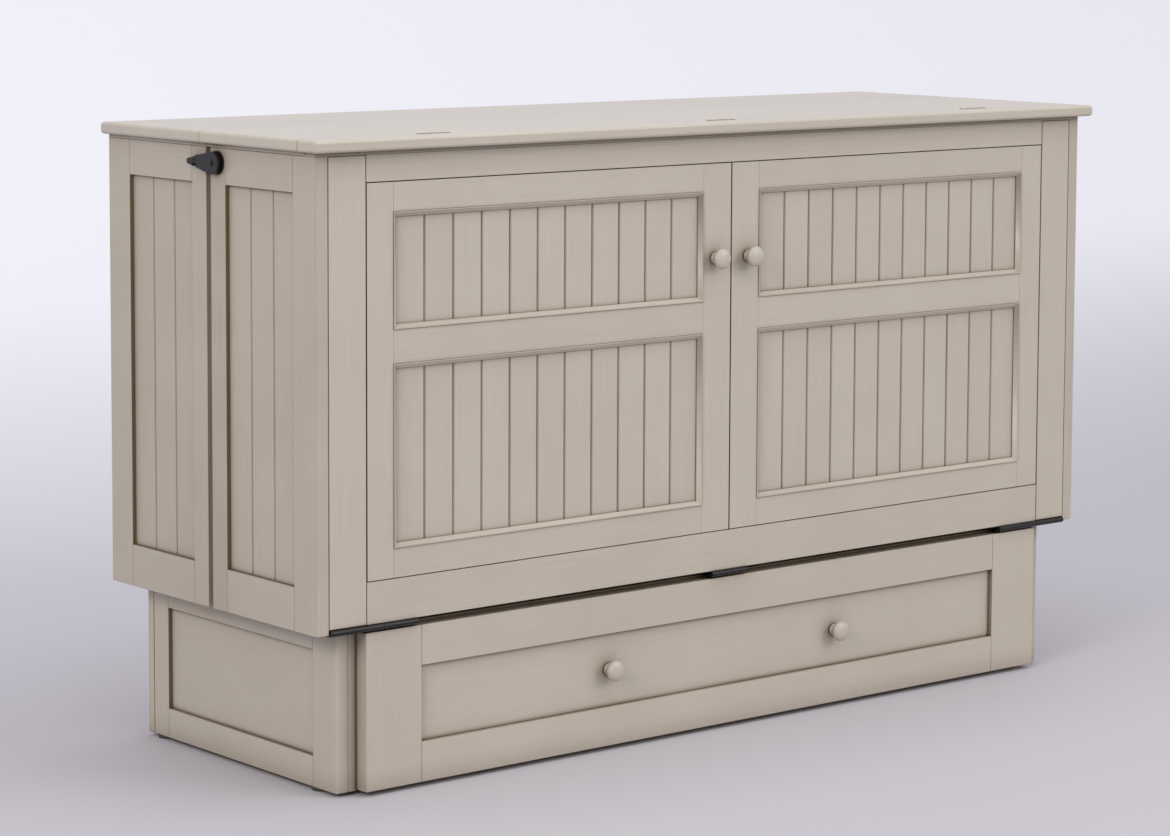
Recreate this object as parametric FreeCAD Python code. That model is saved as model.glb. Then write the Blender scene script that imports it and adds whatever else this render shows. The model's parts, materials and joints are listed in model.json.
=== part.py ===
import FreeCAD, Part
import math
import os

# Cabinet bed, shown closed. Millimetres, +Z up, front faces -Y, X to the right.
# Depths are measured back from the front face of the doors, posts and rails.
# The origin is on the floor, under the middle of the whole object.

# ---- driving dimensions -------------------------------------------------------------
case_width = 1645.0          # over the two side walls
case_depth = 572.0           # front face to the back of the side walls
case_top = 976.0             # top of the side walls and of the front's top rail
face_bottom = 266.0          # lower edge of the front's bottom rail
side_drop = 7.0              # lower edge of the side walls below the front's
side_wall = 22.0             # thickness of the side walls
panel_thickness = 8.0        # boards inside every frame
panel_recess = 6.5           # from a frame's face back to the boards in it
groove_width = 4.0           # V groove between two boards
groove_depth = 2.4
edge_gap = 0.4               # running gap between pieces that move past each other

# folding half and standing half
front_half_back = 279.0      # depth where the folding side walls end
half_gap = 12.0              # parting gap between the folding and the standing side walls
tongue_thickness = 10.0      # rebate tongue that closes the parting line from inside
tongue_gap = 1.0
side_front_stile = 59.0
side_mid_stile = 40.0
side_rear_stile = 61.0
side_top_rail = 56.0
side_bottom_rail = 67.0
side_boards = 3              # boards in each half of a side wall

# top
cornice_height = 6.0         # thin step under the slab, flush with the walls
slab_thickness = 19.0
slab_end_overhang = 13.5
slab_front_overhang = 21.5
slab_back_overhang = 2.0
slab_rounding = 5.0
nosing_seam = 28.0           # depth of the seam between the nosing and the flap
flap_seam_lead = 1.0         # seam between the flap and the rear top, ahead of the standing walls
seam_gap = 0.8

# front face
face_thickness = 20.0
post_width = 70.0
top_rail = 41.5
bottom_rail = 65.0
door_gap = 2.4               # shadow gap round each door
door_outer_stile = 49.0
door_meeting_stile = 59.0
door_top_rail = 45.0
door_mid_rail = 52.0
door_bottom_rail = 45.0
door_upper_panel = 178.0     # height of the upper opening
bead_width = 8.0             # moulding round each opening
bead_proud = 1.5
bead_flat = 2.0              # flat outer edge of the moulding, before its bevel
bead_lip = 1.5               # thickness left at its inner edge
door_boards = 11

# knobs
knob_radius = 17.0
knob_length = 27.0
knob_neck_radius = 7.0
knob_base_radius = 10.0
knob_base_length = 2.7
knob_neck_out = 7.6          # narrowest point of the neck, from the face
knob_head_out = 13.5         # where the neck flares into the head
knob_widest_out = 18.0
knob_crown_out = 22.0        # where the head starts to round over
door_knob_height = 780.0
door_knob_offset = 36.0      # from the cabinet's centre line
drawer_knob_height = 131.0
drawer_knob_offset = 248.0

# base
base_inset = 55.0            # base side in from the side wall
base_wall = 22.0
fold_gap = 10.0              # from the base up to the front, filled by the hinges
base_underside = 6.0
base_front = 29.0            # depth of the base's front edge
base_back_inset = 18.0       # base's rear face in from the back of the side walls
base_back_thickness = 18.0
base_front_stile = 61.0
base_rear_stile = 42.0
base_bottom_rail = 48.0
base_top_rail = 37.0
base_corner_round = 4.0
jamb_width = 37.0            # base corner as seen from the front
hinge_rail_depth = 60.0
hinge_rail_height = 22.0
floor_rail_width = 60.0
floor_rail_height = 16.0
glide_radius = 15.0
glide_inset = 60.0           # first row from the base's front edge
glide_rear_inset = 15.0      # last row from the front of the base's back

# drawer
drawer_front_depth = 3.0     # face of the drawer front behind the cabinet's face
drawer_front_thickness = 25.6
drawer_front_drop = 3.0      # top of the drawer front below the base's top
drawer_front_bottom = 8.0
drawer_stile = 105.0
drawer_top_rail = 63.0
drawer_bottom_rail = 63.0
drawer_panel_recess = 8.0
drawer_board = 12.0
drawer_box_bottom = 34.0
drawer_box_clear = 20.0      # from the drawer box up to the hinge rail
drawer_rear_gap = 17.4       # from the drawer box to the base's back
drawer_floor = 6.0
drawer_floor_groove = 10.0   # floor above the lower edge of the drawer's walls

# drawer runners
runner_width = 12.7
runner_height = 45.0
runner_sheet = 1.2
runner_play = 0.6
runner_rear_gap = 5.0        # from the runners to the base's back
runner_bottom = 96.0
runner_step = 4.0            # each channel is this much shorter than the one it runs in
packer_margin = 4.0          # packer above and below its runner

# front hinges
hinge_knuckle_radius = 4.6
hinge_pin_radius = 2.0
hinge_leaf = 1.8
hinge_rear_leaf = 62.0       # depth of the leaf on the base
hinge_front_leaf = 18.0      # depth of the leaf under the front
side_hinge_length = 162.0
side_hinge_inset = 24.0
middle_hinge_length = 76.0
knuckles = 5

# decks
deck_thickness = 18.0
front_deck_face = 49.0       # depth of the mattress side of the fixed deck
deck_fold_gap = 0.5          # from the fixed deck's face back to the foot deck's hinge line
deck_fold_drop = 21.0        # hinge line below the top of the walls
deck_side_gap = 8.0          # between a folding deck and the side walls
front_deck_rise = 10.0       # lower edge of the fixed deck above the front's
foot_deck_rise = 74.0        # lower edge of the stowed foot deck above the front's
fold_to_deck = 5.0           # from the fold line to the edge of either deck
head_deck_front = 130.0
batten_width = 60.0
vent_radius = 20.0
vent_columns = 8
vent_rows = 3
hinge_shares = (-0.8, 0.0, 0.8)   # hinge centres as shares of half the face opening
deck_hinge_radius = 4.0
deck_hinge_pin_radius = 2.0
deck_hinge_strap = 1.5
pin_play = 0.05              # radial clearance of every hinge pin
knuckle_gap = 0.2            # each knuckle is this much shorter at an end that meets another
deck_hinge_length = 90.0

# foot legs
leg_pivot_inset = 30.0       # pivot above the lower edge of the stowed foot deck
leg_width = 45.0
leg_thickness = 25.0
leg_offset = 520.0           # leg's centre from the cabinet's centre line
leg_clear = 1.5              # between a stowed leg and the foot deck
leg_pivot_setback = 4.0      # pivot behind the middle of the leg, so that it leans shut
leg_pad = 6.0
leg_floor_gap = 1.0          # under the pads when the legs stand
leg_pin_radius = 4.0
leg_ear = 5.0
leg_ear_radius = 14.0
leg_bracket_rise = 8.0       # plate above and below the leg's heel
leg_bracket_foot = 18.0      # width of the plate's screwed flange
leg_bracket_sheet = 1.2
leg_cross_rail = 40.0
leg_cross_height = 151.0     # lower edge of the cross rail from the pivot

# flap hinges
flap_hinge_length = 60.0
flap_hinge_radius = 1.5
flap_hinge_plate = 16.0      # from the seam to the far edge of a leaf
flap_hinge_leaf = 1.2
flap_hinge_lift = 0.3        # axis above the top, so that the turned flap clears it
flap_hinge_room = 0.3        # round each knuckle

# back
case_back_thickness = 12.0

# side latches
latch_drop = 23.0            # below the top of the side walls
latch_edge = 1.0             # from the latch's plate to the folding wall's rear edge
latch_base_radius = 18.5
latch_boss_radius = 10.0
latch_head_radius = 17.5
latch_tip_radius = 4.4
latch_reach = 64.0
latch_plate = 3.0
latch_boss = 3.4
latch_lever = 5.0
latch_pin_radius = 3.0
keeper_edge = 4.0            # from the standing wall's front edge to the keeper
keeper_half_width = 11.0
keeper_half_height = 9.0
keeper_stud_radius = 3.2
keeper_slot_play = 1.3       # also lets the hook swing clear of the stud

# ---- places that follow from them ---------------------------------------------------
half_width = case_width / 2
rear_half_front = front_half_back + half_gap    # depth where the standing side walls begin
base_back = case_depth - base_back_inset
side_bottom = face_bottom - side_drop
base_top = face_bottom - fold_gap
drawer_front_top = base_top - drawer_front_drop
flap_seam = rear_half_front - flap_seam_lead
slab_bottom = case_top + cornice_height
total_height = slab_bottom + slab_thickness
front_reach = knob_length                       # knobs stand furthest forward
back_reach = case_depth + slab_back_overhang
face_y = front_reach - (front_reach + back_reach) / 2
inner_half = half_width - side_wall
opening_half = inner_half - post_width          # half the width inside the posts
door_top = case_top - top_rail
door_bottom = face_bottom + bottom_rail
base_half = half_width - base_inset
hinge_axis_height = (base_top + face_bottom) / 2
head_deck_top = hinge_axis_height + front_deck_face     # level with the fixed deck when folded down
drawer_half = base_half - jamb_width
front_deck_front = front_deck_face - deck_thickness
deck_fold_depth = front_deck_face + deck_fold_gap
deck_fold_height = case_top - deck_fold_drop
foot_deck_front = 2 * deck_fold_depth - front_deck_face
foot_deck_back = foot_deck_front + deck_thickness
foot_deck_top = deck_fold_height - fold_to_deck
foot_deck_bottom = face_bottom + foot_deck_rise
front_deck_bottom = face_bottom + front_deck_rise
head_deck_bottom = head_deck_top - deck_thickness
deck_half = inner_half - deck_side_gap
latch_height = case_top - latch_drop
latch_depth = front_half_back - latch_edge - latch_base_radius
keeper_depth = rear_half_front + keeper_edge + keeper_half_width
leg_pivot_height = foot_deck_bottom + leg_pivot_inset
leg_front = foot_deck_back + leg_clear
leg_pivot_depth = leg_front + leg_thickness / 2 + leg_pivot_setback
leg_reach = hinge_axis_height + 2 * deck_fold_depth - leg_pivot_depth - leg_floor_gap

os.makedirs("parts", exist_ok=True)
nodes = {}


# ---- helpers ------------------------------------------------------------------------
def vec(x, depth, z):
    return FreeCAD.Vector(x, face_y + depth, z)


def block(x0, x1, depth0, depth1, z0, z1):
    return Part.makeBox(x1 - x0, depth1 - depth0, z1 - z0, vec(x0, depth0, z0))


def rod_x(x0, x1, depth, z, radius):
    return Part.makeCylinder(radius, x1 - x0, vec(x0, depth, z), FreeCAD.Vector(1, 0, 0))


def mirrored(shape):
    return shape.mirror(FreeCAD.Vector(0, 0, 0), FreeCAD.Vector(1, 0, 0))


def prism(points, direction):
    wire = Part.makePolygon(points + [points[0]])
    return Part.Face(wire).extrude(direction)


def keep(name, *solids):
    nodes[name] = list(solids)


def keep_pair(name, *solids):
    """A left piece and its mirror image, each a node of its own."""
    keep(name + "_left", *solids)
    keep(name + "_right", *[mirrored(s) for s in solids])


def keep_both(name, *solids):
    """Left pieces and their mirror images as separate solids in one node."""
    keep(name, *solids, *[mirrored(s) for s in solids])


def round_edges(shape, radius, wanted):
    """Round the straight edges whose middle point and direction the test accepts."""
    edges = []
    for edge in shape.Edges:
        ends = [v.Point for v in edge.Vertexes]
        if len(ends) == 2 and wanted((ends[0] + ends[1]) / 2, (ends[1] - ends[0]).normalize()):
            edges.append(edge)
    return shape.makeFillet(radius, edges)


def grooved_panel(start, end, face, thickness, z0, z1, grooves, along_x):
    """Boards with V grooves, face towards -Y if along_x, else towards -X."""
    outline = [(start, face)]
    for g in grooves:
        outline += [(g - groove_width / 2, face), (g, face + groove_depth), (g + groove_width / 2, face)]
    outline += [(end, face), (end, face + thickness), (start, face + thickness)]
    if along_x:
        points = [vec(a, b, z0) for a, b in outline]
    else:
        points = [vec(b, a, z0) for a, b in outline]
    return prism(points, FreeCAD.Vector(0, 0, z1 - z0))


def between(start, end, count):
    """The joints between a number of equal boards."""
    return [start + (end - start) * i / count for i in range(1, count)]


def knob(x, face_depth, z):
    """A turned knob standing forward of a face, as half an outline spun about its axis."""
    r, n, b, long = knob_radius, knob_neck_radius, knob_base_radius, knob_length
    at = lambda radius, out: vec(x + radius, face_depth - out, z)
    crown_mid = long - 0.3 * (long - knob_crown_out)
    edges = [
        Part.LineSegment(at(0, 0), at(b, 0)).toShape(),
        Part.LineSegment(at(b, 0), at(b, knob_base_length)).toShape(),
        Part.Arc(at(b, knob_base_length), at(n, knob_neck_out), at(0.6 * r, knob_head_out)).toShape(),
        Part.Arc(at(0.6 * r, knob_head_out), at(r, knob_widest_out), at(0.9 * r, knob_crown_out)).toShape(),
        Part.Arc(at(0.9 * r, knob_crown_out), at(0.6 * r, crown_mid), at(0.2 * r, long)).toShape(),
        Part.LineSegment(at(0.2 * r, long), at(0, long)).toShape(),
        Part.LineSegment(at(0, long), at(0, 0)).toShape(),
    ]
    face = Part.Face(Part.Wire(edges))
    return face.revolve(at(0, 0), FreeCAD.Vector(0, -1, 0), 360)


def slab_piece(depth0, depth1, front_edge, back_edge, rest_gap=0.0):
    """A stretch of the top: an overhanging slab with rounded edges on a flush step."""
    x = half_width + slab_end_overhang
    slab = block(-x, x, depth0, depth1, slab_bottom, total_height)

    def exposed(mid, along):
        if abs(along.x) > 0.9:
            at_front = front_edge and abs(mid.y - (face_y + depth0)) < 0.01
            at_back = back_edge and abs(mid.y - (face_y + depth1)) < 0.01
            return at_front or at_back
        return abs(along.y) > 0.9 and abs(abs(mid.x) - x) < 0.01

    rounding = min(slab_rounding, 0.45 * slab_thickness)
    slab = round_edges(slab, rounding, exposed)
    step_front = 0.0 if front_edge else depth0
    step_back = case_depth if back_edge else depth1
    step = block(-half_width, half_width, step_front, step_back, case_top + rest_gap, slab_bottom)
    return slab.fuse(step).removeSplitter()


def knuckle_row(x0, length, depth, z, radius, first):
    """Every other knuckle of a hinge barrel, bored for its pin."""
    pitch = length / knuckles
    rows = []
    for i in range(first, knuckles, 2):
        start = x0 + i * pitch + (knuckle_gap if i else 0.0)
        end = x0 + (i + 1) * pitch - (knuckle_gap if i < knuckles - 1 else 0.0)
        rows.append(rod_x(start, end, depth, z, radius))
    return rows


# ---- top, in three strips, and the hinges let into the seam behind the nosing --------
nosing = slab_piece(-slab_front_overhang, nosing_seam - seam_gap / 2, True, False)
flap = slab_piece(nosing_seam + seam_gap / 2, flap_seam - seam_gap / 2, False, False, edge_gap)
keep("rear_top", slab_piece(flap_seam + seam_gap / 2, case_depth + slab_back_overhang, False, True))
flap_axis_height = total_height + flap_hinge_lift


def flap_hinge(centre):
    """Leaves flush with the top on each side of the seam, and three small knuckles."""
    x0 = centre - flap_hinge_length / 2
    x1 = centre + flap_hinge_length / 2
    low = total_height - flap_hinge_leaf
    third = flap_hinge_length / 3
    r = flap_hinge_radius
    knuckle = lambda a, b, grow: rod_x(a, b, nosing_seam, flap_axis_height, r + grow)
    g = knuckle_gap
    room = flap_hinge_room
    ends = [knuckle(x0, x0 + third - g, 0.0), knuckle(x1 - third + g, x1, 0.0)]
    middle = [knuckle(x0 + third, x1 - third, 0.0)]
    end_room = [knuckle(x0 - g, x0 + third, room), knuckle(x1 - third, x1 + g, room)]
    middle_room = [knuckle(x0 + third - g, x1 - third + g, room)]
    front_leaf = block(x0, x1, nosing_seam - flap_hinge_plate, nosing_seam - seam_gap / 2, low, total_height)
    back_leaf = block(x0, x1, nosing_seam + seam_gap / 2, nosing_seam + flap_hinge_plate, low, total_height)
    pocket = [front_leaf, back_leaf, knuckle(x0 - g, x1 + g, room)]
    front_leaf = front_leaf.fuse(ends).cut(middle_room)
    back_leaf = back_leaf.fuse(middle).cut(end_room)
    return front_leaf.removeSplitter(), back_leaf.removeSplitter(), pocket


front_leaves = []
back_leaves = []
for share in hinge_shares:
    front_leaf, back_leaf, pocket = flap_hinge(share * opening_half)
    front_leaves.append(front_leaf)
    back_leaves.append(back_leaf)
    nosing = nosing.cut(pocket)
    flap = flap.cut(pocket)
keep("front_nosing", nosing)
keep("top_flap", flap)
keep("flap_hinge_front_leaves", *front_leaves)
keep("flap_hinge_back_leaves", *back_leaves)


# ---- side walls ---------------------------------------------------------------------
def side_half(name, depth0, depth1, front_stile, rear_stile, tongue):
    """Half of a side wall: two stiles, two rails and grooved boards held between them."""
    outer = -half_width
    inner = -inner_half
    low = side_bottom + side_bottom_rail
    high = case_top - side_top_rail
    open0 = depth0 + front_stile
    open1 = depth1 - rear_stile
    stile0 = block(outer, inner, depth0, open0, side_bottom, case_top)
    if tongue:
        reach = rear_half_front - front_half_back - tongue_gap
        inside = block(inner - tongue_thickness, inner, depth0 - reach, depth0, side_bottom, case_top)
        stile0 = stile0.fuse(inside).removeSplitter()
    stile1 = block(outer, inner, open1, depth1, side_bottom, case_top)
    rail_low = block(outer, inner, open0, open1, side_bottom, low)
    rail_high = block(outer, inner, open0, open1, high, case_top)
    keep_pair(name + "_frame", stile0, stile1, rail_low, rail_high)
    joints = between(open0, open1, side_boards)
    face = outer + panel_recess
    keep_both(name + "_boards", grooved_panel(open0, open1, face, panel_thickness, low, high, joints, False))


side_half("front_side", 0.0, front_half_back, side_front_stile, side_mid_stile, False)
side_half("rear_side", rear_half_front, case_depth, side_mid_stile, side_rear_stile, True)
keep("case_back", block(-inner_half, inner_half, case_depth - case_back_thickness, case_depth,
                        base_top, case_top))

# ---- front face ---------------------------------------------------------------------
keep_both("front_posts", block(-inner_half, -opening_half, 0.0, face_thickness, face_bottom, case_top))
keep("front_top_rail", block(-opening_half, opening_half, 0.0, face_thickness, door_top, case_top))
keep("front_bottom_rail",
     block(-opening_half, opening_half, 0.0, face_thickness, face_bottom, door_bottom))


def bead_ring(x0, x1, z0, z1):
    """A moulding round an opening, its inner edge bevelled down to the boards."""
    w = bead_width
    face = -bead_proud
    back = panel_recess
    ring = block(x0, x1, face, back, z0, z1).cut(block(x0 + w, x1 - w, face, back, z0 + w, z1 - w))

    def outline(inset, depth):
        corners = [(x0 + inset, z0 + inset), (x1 - inset, z0 + inset), (x1 - inset, z1 - inset),
                   (x0 + inset, z1 - inset), (x0 + inset, z0 + inset)]
        return Part.makePolygon([vec(x, depth, z) for x, z in corners])

    funnel = Part.makeLoft([outline(bead_flat, face), outline(w, back - bead_lip)], True, True)
    return ring.cut(funnel)


def false_door():
    """The left door: frame, boards and mouldings. The right one is its mirror image."""
    x0 = -opening_half + door_gap / 2
    x1 = -door_gap / 2
    z0 = door_bottom + door_gap / 2
    z1 = door_top - door_gap / 2
    open0 = x0 + door_outer_stile
    open1 = x1 - door_meeting_stile
    mid1 = z1 - door_top_rail - door_upper_panel
    mid0 = mid1 - door_mid_rail
    t = face_thickness
    frame = [block(x0, open0, 0.0, t, z0, z1), block(open1, x1, 0.0, t, z0, z1)]
    frame.append(block(open0, open1, 0.0, t, z0, z0 + door_bottom_rail))
    frame.append(block(open0, open1, 0.0, t, mid0, mid1))
    frame.append(block(open0, open1, 0.0, t, z1 - door_top_rail, z1))
    keep_pair("door_frame", *frame)
    joints = between(open0 + bead_width, open1 - bead_width, door_boards)
    panels = []
    beads = []
    for low, high in ((z0 + door_bottom_rail, mid0), (mid1, z1 - door_top_rail)):
        panels.append(grooved_panel(open0, open1, panel_recess, panel_thickness, low, high, joints, True))
        beads.append(bead_ring(open0, open1, low, high))
    keep_both("door_boards", *panels)
    keep_both("door_mouldings", *beads)


false_door()
keep_both("door_knobs", knob(-door_knob_offset, 0.0, door_knob_height))

# ---- fixed deck and its battens inside the folding half -----------------------------


def vent_holes(x_half, depth0, depth1, z0, z1, upright):
    """Air holes through a deck, in rows."""
    holes = []
    for i in range(vent_columns):
        x = -x_half + 2 * x_half * (i + 0.5) / vent_columns
        for j in range(vent_rows):
            share = (j + 0.5) / vent_rows
            if upright:
                z = z0 + (z1 - z0) * share
                holes.append(Part.makeCylinder(vent_radius, depth1 - depth0, vec(x, depth0, z),
                                               FreeCAD.Vector(0, 1, 0)))
            else:
                depth = depth0 + (depth1 - depth0) * share
                holes.append(Part.makeCylinder(vent_radius, z1 - z0, vec(x, depth, z0)))
    return holes


front_deck = block(-inner_half, inner_half, front_deck_front, front_deck_face,
                   front_deck_bottom, foot_deck_top)
keep("front_deck", front_deck.cut(vent_holes(inner_half, front_deck_front, front_deck_face,
                                             front_deck_bottom, foot_deck_top, True)))
batten_x = [-inner_half + batten_width / 2, -opening_half / 2, 0.0, opening_half / 2,
            inner_half - batten_width / 2]
keep("front_battens", *[block(x - batten_width / 2, x + batten_width / 2, face_thickness, front_deck_front,
                              front_deck_bottom, foot_deck_top) for x in batten_x])

# ---- foot deck, stowed against the fixed deck ---------------------------------------
foot_deck = block(-deck_half, deck_half, foot_deck_front, foot_deck_back, foot_deck_bottom, foot_deck_top)
keep("foot_deck", foot_deck.cut(vent_holes(deck_half, foot_deck_front, foot_deck_back,
                                           foot_deck_bottom, foot_deck_top, True)))

deck_hinge_x = [share * opening_half for share in hinge_shares]


def deck_hinges():
    """Three butt hinges on the fold line: barrels with a strap down each deck's outer side."""
    fixed = []
    moving = []
    pins = []
    for centre in deck_hinge_x:
        x0 = centre - deck_hinge_length / 2
        x1 = centre + deck_hinge_length / 2
        fixed_strap = block(x0, x1, front_deck_front, deck_fold_depth - edge_gap, foot_deck_top,
                            foot_deck_top + deck_hinge_strap)
        moving_strap = block(x0, x1, deck_fold_depth + edge_gap, foot_deck_back, foot_deck_top,
                             foot_deck_top + deck_hinge_strap)
        barrel = knuckle_row(x0, deck_hinge_length, deck_fold_depth, deck_fold_height, deck_hinge_radius, 0)
        other = knuckle_row(x0, deck_hinge_length, deck_fold_depth, deck_fold_height, deck_hinge_radius, 1)
        bore = rod_x(x0 - 1, x1 + 1, deck_fold_depth, deck_fold_height,
                     deck_hinge_pin_radius + pin_play)
        clear_fixed = [rod_x(k.BoundBox.XMin - edge_gap, k.BoundBox.XMax + edge_gap, deck_fold_depth,
                             deck_fold_height, deck_hinge_radius + edge_gap) for k in other]
        clear_moving = [rod_x(k.BoundBox.XMin - edge_gap, k.BoundBox.XMax + edge_gap, deck_fold_depth,
                              deck_fold_height, deck_hinge_radius + edge_gap) for k in barrel]
        fixed.append(fixed_strap.fuse(barrel).cut(clear_fixed + [bore]).removeSplitter())
        moving.append(moving_strap.fuse(other).cut(clear_moving + [bore]).removeSplitter())
        pins.append(rod_x(x0, x1, deck_fold_depth, deck_fold_height, deck_hinge_pin_radius))
    return fixed, moving, pins


fixed, moving, pins = deck_hinges()
keep("deck_hinge_fixed", *fixed)
keep("deck_hinge_moving", *moving)
keep("deck_hinge_pins", *pins)


# ---- foot legs, folded up behind the foot deck --------------------------------------
def foot_leg(sign):
    x0 = sign * leg_offset - leg_width / 2
    x1 = sign * leg_offset + leg_width / 2
    top = leg_pivot_height + leg_reach - leg_pad
    leg = block(x0, x1, leg_front, leg_front + leg_thickness, leg_pivot_height, top)
    heel = rod_x(x0, x1, leg_front + leg_thickness / 2, leg_pivot_height, leg_thickness / 2)
    bore = rod_x(x0 - 1, x1 + 1, leg_pivot_depth, leg_pivot_height, leg_pin_radius + pin_play)
    return leg.fuse(heel).cut(bore).removeSplitter()


leg_rail_low = leg_pivot_height + leg_cross_height
cross = block(-leg_offset + leg_width / 2, leg_offset - leg_width / 2, leg_front,
              leg_front + leg_thickness, leg_rail_low, leg_rail_low + leg_cross_rail)
keep("foot_leg_frame", foot_leg(-1), foot_leg(1), cross)
pad_low = leg_pivot_height + leg_reach - leg_pad
keep("foot_leg_pads", *[block(s * leg_offset - leg_width / 2, s * leg_offset + leg_width / 2, leg_front,
                              leg_front + leg_thickness, pad_low, pad_low + leg_pad) for s in (-1, 1)])


def leg_bracket(sign):
    """A folded plate on the foot deck with an ear each side of the leg."""
    x0 = sign * leg_offset - leg_width / 2 - edge_gap
    x1 = sign * leg_offset + leg_width / 2 + edge_gap
    low = leg_pivot_height - leg_thickness / 2 - leg_bracket_rise
    high = leg_pivot_height + leg_thickness / 2 + leg_bracket_rise
    ears = []
    for e0, e1, foot0, foot1 in ((x0 - leg_ear, x0, x0 - leg_ear - leg_bracket_foot, x0),
                                 (x1, x1 + leg_ear, x1, x1 + leg_ear + leg_bracket_foot)):
        ear = block(e0, e1, foot_deck_back, leg_pivot_depth, low, high)
        ear = ear.fuse(rod_x(e0, e1, leg_pivot_depth, leg_pivot_height, leg_ear_radius))
        foot = block(foot0, foot1, foot_deck_back, foot_deck_back + leg_bracket_sheet, low, high)
        bore = rod_x(e0, e1, leg_pivot_depth, leg_pivot_height, leg_pin_radius + pin_play)
        ears.append(ear.fuse(foot).cut(bore).removeSplitter())
    pin = rod_x(x0 - leg_ear, x1 + leg_ear, leg_pivot_depth, leg_pivot_height, leg_pin_radius)
    return ears, pin


left_ears, left_pin = leg_bracket(-1)
right_ears, right_pin = leg_bracket(1)
keep("leg_brackets", *(left_ears + right_ears))
keep("leg_pins", left_pin, right_pin)

# ---- head deck ----------------------------------------------------------------------
head_deck = block(-inner_half + 2.0, inner_half - 2.0, head_deck_front, case_depth - case_back_thickness,
                  head_deck_bottom, head_deck_top)
keep("head_deck", head_deck.cut(vent_holes(inner_half, head_deck_front, case_depth - case_back_thickness,
                                           head_deck_bottom, head_deck_top, False)))
bearer = block(-base_half, -base_half + base_wall, head_deck_front, rear_half_front,
               base_top, head_deck_bottom)
bearer = bearer.fuse(block(-inner_half, -base_half + base_wall, rear_half_front,
                           case_depth - case_back_thickness, base_top, head_deck_bottom))
keep_both("head_deck_bearers", bearer.removeSplitter())
keep("head_deck_joist", block(-base_half + base_wall, base_half - base_wall, head_deck_front,
                              head_deck_front + base_wall, base_top, head_deck_bottom))

# ---- base ---------------------------------------------------------------------------
base_back_front = base_back - base_back_thickness
outer = -base_half
inner = -base_half + base_wall
open0 = base_front + base_front_stile
open1 = base_back_front - base_rear_stile
rail_top = base_underside + base_bottom_rail
rail_under = base_top - base_top_rail
keep_pair("base_side_frame",
          round_edges(block(outer, inner, base_front, open0, base_underside, base_top), base_corner_round,
                      lambda mid, along: abs(along.z) > 0.9 and abs(mid.x - outer) < 0.01
                      and abs(mid.y - (face_y + base_front)) < 0.01),
          block(outer, inner, open1, base_back_front, base_underside, base_top),
          block(outer, inner, open0, open1, base_underside, rail_top),
          block(outer, inner, open0, open1, rail_under, base_top))
keep_both("base_side_panels", block(outer + panel_recess, outer + panel_recess + panel_thickness,
                                   open0, open1, rail_top, rail_under))
keep_both("base_jambs", block(inner, -drawer_half, base_front, base_front + base_wall,
                             base_underside, base_top))
keep("base_back", block(outer, -outer, base_back_front, base_back, base_underside, base_top))
keep("hinge_rail", block(-drawer_half, drawer_half, base_front, base_front + hinge_rail_depth,
                         base_top - hinge_rail_height, base_top))
floor_rails = [block(inner, -inner, d, d + floor_rail_width, base_underside,
                     base_underside + floor_rail_height)
               for d in (base_front + base_wall, (base_front + base_back) / 2,
                         base_back_front - floor_rail_width)]
keep("floor_rails", *floor_rails)
glide_x = (-base_half + glide_radius, 0.0, base_half - glide_radius)
glides = []
for x in glide_x:
    for d in (base_front + glide_inset, base_back_front - glide_rear_inset):
        glides.append(Part.makeCylinder(glide_radius, base_underside, vec(x, d, 0.0)))
keep("floor_glides", *glides)

# ---- drawer -------------------------------------------------------------------------
d0 = drawer_front_depth
d1 = d0 + drawer_front_thickness
xs = drawer_half - drawer_stile
z_low = drawer_front_bottom + drawer_bottom_rail
z_high = drawer_front_top - drawer_top_rail
keep("drawer_front_frame",
     block(-drawer_half, -xs, d0, d1, drawer_front_bottom, drawer_front_top),
     block(xs, drawer_half, d0, d1, drawer_front_bottom, drawer_front_top),
     block(-xs, xs, d0, d1, drawer_front_bottom, z_low),
     block(-xs, xs, d0, d1, z_high, drawer_front_top))
keep("drawer_front_panel", block(-xs, xs, d0 + drawer_panel_recess, d1, z_low, z_high))
keep("drawer_knobs", *[knob(s * drawer_knob_offset, d0 + drawer_panel_recess, drawer_knob_height)
                       for s in (-1, 1)])
box_half = drawer_half - runner_width
box_top = base_top - hinge_rail_height - drawer_box_clear
box_back = base_back_front - drawer_rear_gap
floor_z = drawer_box_bottom + drawer_floor_groove
keep_both("drawer_sides", block(-box_half, -box_half + drawer_board, d1, box_back,
                               drawer_box_bottom, box_top))
inside = box_half - drawer_board
keep("drawer_back", block(-inside, inside, box_back - drawer_board, box_back, drawer_box_bottom, box_top))
keep("drawer_floor", block(-inside, inside, d1, box_back - drawer_board, floor_z, floor_z + drawer_floor))
keep("drawer_floor_stiffener", block(-drawer_stile / 2, drawer_stile / 2, d1, box_back - drawer_board,
                                     floor_z - drawer_floor_groove, floor_z))


# ---- drawer runners: three channels nested in each other ----------------------------
def channel(web_x0, web_x1, lip_x, z0, z1, depth0, depth1):
    """A sheet-metal channel with its web at one side and two lips."""
    lip0 = min(web_x0, lip_x)
    lip1 = max(web_x1, lip_x)
    web = block(web_x0, web_x1, depth0, depth1, z0, z1)
    low = block(lip0, lip1, depth0, depth1, z0, z0 + runner_sheet)
    high = block(lip0, lip1, depth0, depth1, z1 - runner_sheet, z1)
    return web.fuse([low, high]).removeSplitter()


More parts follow.
